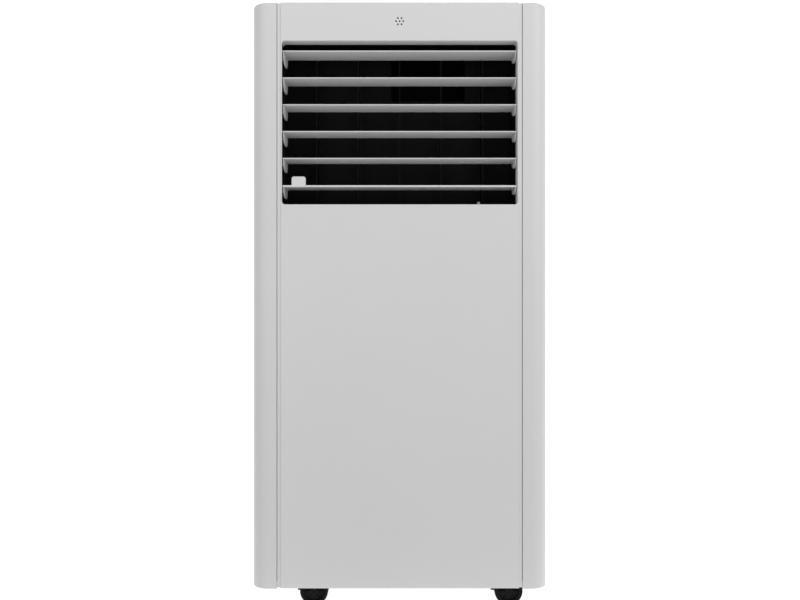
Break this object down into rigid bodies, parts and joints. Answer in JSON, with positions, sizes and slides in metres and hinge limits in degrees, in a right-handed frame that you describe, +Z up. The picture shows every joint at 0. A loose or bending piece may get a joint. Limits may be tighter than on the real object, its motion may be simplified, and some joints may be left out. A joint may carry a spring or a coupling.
{
  "type": "portable air conditioner",
  "caption": "Upright portable air conditioner on casters, with linked horizontal louvers, top keys and a rear exhaust outlet.",
  "frame": {"origin": "on the floor under the middle of the box that encloses the unit", "axes": "+Z up, front panel faces -Y, +X to the right seen from the front"},
  "size_m": [0.33, 0.3, 0.678],
  "materials": {
    "shell_plastic": "fine moulded texture",
    "panel_plastic": "fine moulded texture",
    "louver_plastic": "smooth satin",
    "rear_plastic": "fine moulded texture",
    "black_plastic": "flat black moulding",
    "caster_plastic": "satin black",
    "bezel_plastic": "gloss black",
    "window_plastic": "smoked clear",
    "key_plastic": "satin grey",
    "board_green": "coated board",
    "coil_aluminium": "bare fins",
    "scroll_foam": "white moulding",
    "fan_plastic": "dark moulding",
    "motor_steel": "grey paint",
    "compressor_paint": "black paint",
    "copper": "drawn copper",
    "rubber_black": "matt",
    "screw_steel": "zinc plated",
    "filter_nylon": "open nylon mesh",
    "capacitor_can": "drawn can",
    "box_steel": "galvanised sheet"
  },
  "bodies": {
    "cabinet": {"base_pan": "black_plastic", "left_side_shell": "shell_plastic", "right_side_shell": "shell_plastic", "front_panel": "panel_plastic", "top_cover": "panel_plastic", "rear_cover": "rear_plastic", "rear_bushes": "rubber_black", "cover_screws": "screw_steel", "exhaust_collar": "rear_plastic", "control_bezel": "bezel_plastic", "display_window": "window_plastic", "display_board": "board_green", "air_duct": "black_plastic", "evaporator_scroll": "scroll_foam", "evaporator_motor": "motor_steel", "evaporator_coil": "coil_aluminium", "drip_tray": "black_plastic", "condenser_scroll": "scroll_foam", "condenser_motor": "motor_steel", "condenser_coil": "coil_aluminium", "compressor": "compressor_paint", "compressor_grommets": "rubber_black", "accumulator": "compressor_paint", "refrigerant_pipes": "copper", "control_box": "box_steel", "control_board": "board_green", "run_capacitor": "capacitor_can"},
    "filter": {"filter_frame": "rear_plastic", "filter_mesh": "filter_nylon"},
    "drain_plug_upper": {"drain_plug_upper": "rubber_black"},
    "drain_plug_lower": {"drain_plug_lower": "rubber_black"},
    "power_key": {"power_key": "key_plastic"},
    "mode_key": {"mode_key": "key_plastic"},
    "fan_key": {"fan_key": "key_plastic"},
    "down_key": {"down_key": "key_plastic"},
    "up_key": {"up_key": "key_plastic"},
    "caster_front_left": {"caster_hood_front_left": "caster_plastic"},
    "wheels_front_left": {"caster_wheels_front_left": "caster_plastic"},
    "caster_front_right": {"caster_hood_front_right": "caster_plastic"},
    "wheels_front_right": {"caster_wheels_front_right": "caster_plastic"},
    "caster_rear_left": {"caster_hood_rear_left": "caster_plastic"},
    "wheels_rear_left": {"caster_wheels_rear_left": "caster_plastic"},
    "caster_rear_right": {"caster_hood_rear_right": "caster_plastic"},
    "wheels_rear_right": {"caster_wheels_rear_right": "caster_plastic"},
    "louver_1": {"louver_1": "louver_plastic"},
    "louver_2": {"louver_2": "louver_plastic"},
    "louver_3": {"louver_3": "louver_plastic"},
    "louver_4": {"louver_4": "louver_plastic"},
    "louver_5": {"louver_5": "louver_plastic"},
    "louver_6": {"louver_6": "louver_plastic"},
    "louver_link": {"louver_link_bar": "black_plastic"},
    "vane_1": {"vane_1": "black_plastic"},
    "vane_2": {"vane_2": "black_plastic"},
    "vane_3": {"vane_3": "black_plastic"},
    "vane_4": {"vane_4": "black_plastic"},
    "vane_5": {"vane_5": "black_plastic"},
    "vane_link": {"vane_link_bar": "black_plastic", "vane_finger_tip": "louver_plastic"},
    "evaporator_fan": {"evaporator_blower": "fan_plastic"},
    "condenser_fan": {"condenser_blower": "fan_plastic"}
  },
  "joints": [
    {"name": "filter_slide", "type": "slide", "parent": "cabinet", "child": "filter", "axis": [0, 1, 0], "range_m": [0, 0.04]},
    {"name": "drain_plug_upper_pull", "type": "slide", "parent": "cabinet", "child": "drain_plug_upper", "axis": [0, 1, 0], "range_m": [0, 0.025]},
    {"name": "drain_plug_lower_pull", "type": "slide", "parent": "cabinet", "child": "drain_plug_lower", "axis": [0, 1, 0], "range_m": [0, 0.025]},
    {"name": "power_key_press", "type": "slide", "parent": "cabinet", "child": "power_key", "axis": [0, 0, -1], "range_m": [0, 0.001], "stiffness_N_per_m": 600, "springref_m": -0.0005},
    {"name": "mode_key_press", "type": "slide", "parent": "cabinet", "child": "mode_key", "axis": [0, 0, -1], "range_m": [0, 0.001], "stiffness_N_per_m": 600, "springref_m": -0.0005},
    {"name": "fan_key_press", "type": "slide", "parent": "cabinet", "child": "fan_key", "axis": [0, 0, -1], "range_m": [0, 0.001], "stiffness_N_per_m": 600, "springref_m": -0.0005},
    {"name": "down_key_press", "type": "slide", "parent": "cabinet", "child": "down_key", "axis": [0, 0, -1], "range_m": [0, 0.001], "stiffness_N_per_m": 600, "springref_m": -0.0005},
    {"name": "up_key_press", "type": "slide", "parent": "cabinet", "child": "up_key", "axis": [0, 0, -1], "range_m": [0, 0.001], "stiffness_N_per_m": 600, "springref_m": -0.0005},
    {"name": "caster_front_left_swivel", "type": "hinge", "parent": "cabinet", "child": "caster_front_left", "pos_m": [-0.111, -0.115, 0.03], "axis": [0, 0, 1], "continuous": true},
    {"name": "wheels_front_left_roll", "type": "hinge", "parent": "caster_front_left", "child": "wheels_front_left", "pos_m": [-0.0977, -0.115, 0.016], "axis": [0, 1, 0], "continuous": true},
    {"name": "caster_front_right_swivel", "type": "hinge", "parent": "cabinet", "child": "caster_front_right", "pos_m": [0.111, -0.115, 0.03], "axis": [0, 0, 1], "continuous": true},
    {"name": "wheels_front_right_roll", "type": "hinge", "parent": "caster_front_right", "child": "wheels_front_right", "pos_m": [0.1243, -0.115, 0.016], "axis": [0, 1, 0], "continuous": true},
    {"name": "caster_rear_left_swivel", "type": "hinge", "parent": "cabinet", "child": "caster_rear_left", "pos_m": [-0.111, 0.1, 0.03], "axis": [0, 0, 1], "continuous": true},
    {"name": "wheels_rear_left_roll", "type": "hinge", "parent": "caster_rear_left", "child": "wheels_rear_left", "pos_m": [-0.0977, 0.1, 0.016], "axis": [0, 1, 0], "continuous": true},
    {"name": "caster_rear_right_swivel", "type": "hinge", "parent": "cabinet", "child": "caster_rear_right", "pos_m": [0.111, 0.1, 0.03], "axis": [0, 0, 1], "continuous": true},
    {"name": "wheels_rear_right_roll", "type": "hinge", "parent": "caster_rear_right", "child": "wheels_rear_right", "pos_m": [0.1243, 0.1, 0.016], "axis": [0, 1, 0], "continuous": true},
    {"name": "louver_1_tilt", "type": "hinge", "parent": "cabinet", "child": "louver_1", "pos_m": [0, -0.132, 0.6197], "axis": [1, 0, 0], "range_deg": [-30, 75]},
    {"name": "louver_2_tilt", "type": "hinge", "parent": "cabinet", "child": "louver_2", "pos_m": [0, -0.132, 0.5899], "axis": [1, 0, 0], "range_deg": [-30, 75]},
    {"name": "louver_3_tilt", "type": "hinge", "parent": "cabinet", "child": "louver_3", "pos_m": [0, -0.132, 0.5601], "axis": [1, 0, 0], "range_deg": [-30, 75]},
    {"name": "louver_4_tilt", "type": "hinge", "parent": "cabinet", "child": "louver_4", "pos_m": [0, -0.132, 0.5303], "axis": [1, 0, 0], "range_deg": [-30, 75]},
    {"name": "louver_5_tilt", "type": "hinge", "parent": "cabinet", "child": "louver_5", "pos_m": [0, -0.132, 0.5005], "axis": [1, 0, 0], "range_deg": [-30, 75]},
    {"name": "louver_6_tilt", "type": "hinge", "parent": "cabinet", "child": "louver_6", "pos_m": [0, -0.132, 0.4707], "axis": [1, 0, 0], "range_deg": [-30, 75]},
    {"name": "louver_link_turn", "type": "hinge", "parent": "louver_6", "child": "louver_link", "pos_m": [-0.132, -0.123, 0.4657], "axis": [1, 0, 0], "range_deg": [-75, 30]},
    {"name": "vane_1_turn", "type": "hinge", "parent": "cabinet", "child": "vane_1", "pos_m": [-0.096, -0.1003, 0.545], "axis": [0, 0, 1], "range_deg": [-35, 35]},
    {"name": "vane_2_turn", "type": "hinge", "parent": "cabinet", "child": "vane_2", "pos_m": [-0.048, -0.1003, 0.545], "axis": [0, 0, 1], "range_deg": [-35, 35]},
    {"name": "vane_3_turn", "type": "hinge", "parent": "cabinet", "child": "vane_3", "pos_m": [0, -0.1003, 0.545], "axis": [0, 0, 1], "range_deg": [-35, 35]},
    {"name": "vane_4_turn", "type": "hinge", "parent": "cabinet", "child": "vane_4", "pos_m": [0.048, -0.1003, 0.545], "axis": [0, 0, 1], "range_deg": [-35, 35]},
    {"name": "vane_5_turn", "type": "hinge", "parent": "cabinet", "child": "vane_5", "pos_m": [0.096, -0.1003, 0.545], "axis": [0, 0, 1], "range_deg": [-35, 35]},
    {"name": "vane_link_turn", "type": "hinge", "parent": "vane_1", "child": "vane_link", "pos_m": [-0.096, -0.1123, 0.456], "axis": [0, 0, 1], "range_deg": [-35, 35]},
    {"name": "evaporator_fan_spin", "type": "hinge", "parent": "cabinet", "child": "evaporator_fan", "pos_m": [-0.008, -0.052, 0.5], "axis": [0, 1, 0], "continuous": true},
    {"name": "condenser_fan_spin", "type": "hinge", "parent": "cabinet", "child": "condenser_fan", "pos_m": [0.03, 0.0205, 0.15], "axis": [0, 1, 0], "continuous": true}
  ],
  "couplings": [
    {"joint": "louver_1_tilt", "follows": "louver_6_tilt", "ratio": 1},
    {"joint": "louver_2_tilt", "follows": "louver_6_tilt", "ratio": 1},
    {"joint": "louver_3_tilt", "follows": "louver_6_tilt", "ratio": 1},
    {"joint": "louver_4_tilt", "follows": "louver_6_tilt", "ratio": 1},
    {"joint": "louver_5_tilt", "follows": "louver_6_tilt", "ratio": 1},
    {"joint": "louver_link_turn", "follows": "louver_6_tilt", "ratio": -1},
    {"joint": "vane_2_turn", "follows": "vane_1_turn", "ratio": 1},
    {"joint": "vane_3_turn", "follows": "vane_1_turn", "ratio": 1},
    {"joint": "vane_4_turn", "follows": "vane_1_turn", "ratio": 1},
    {"joint": "vane_5_turn", "follows": "vane_1_turn", "ratio": 1},
    {"joint": "vane_link_turn", "follows": "vane_1_turn", "ratio": -1}
  ]
}
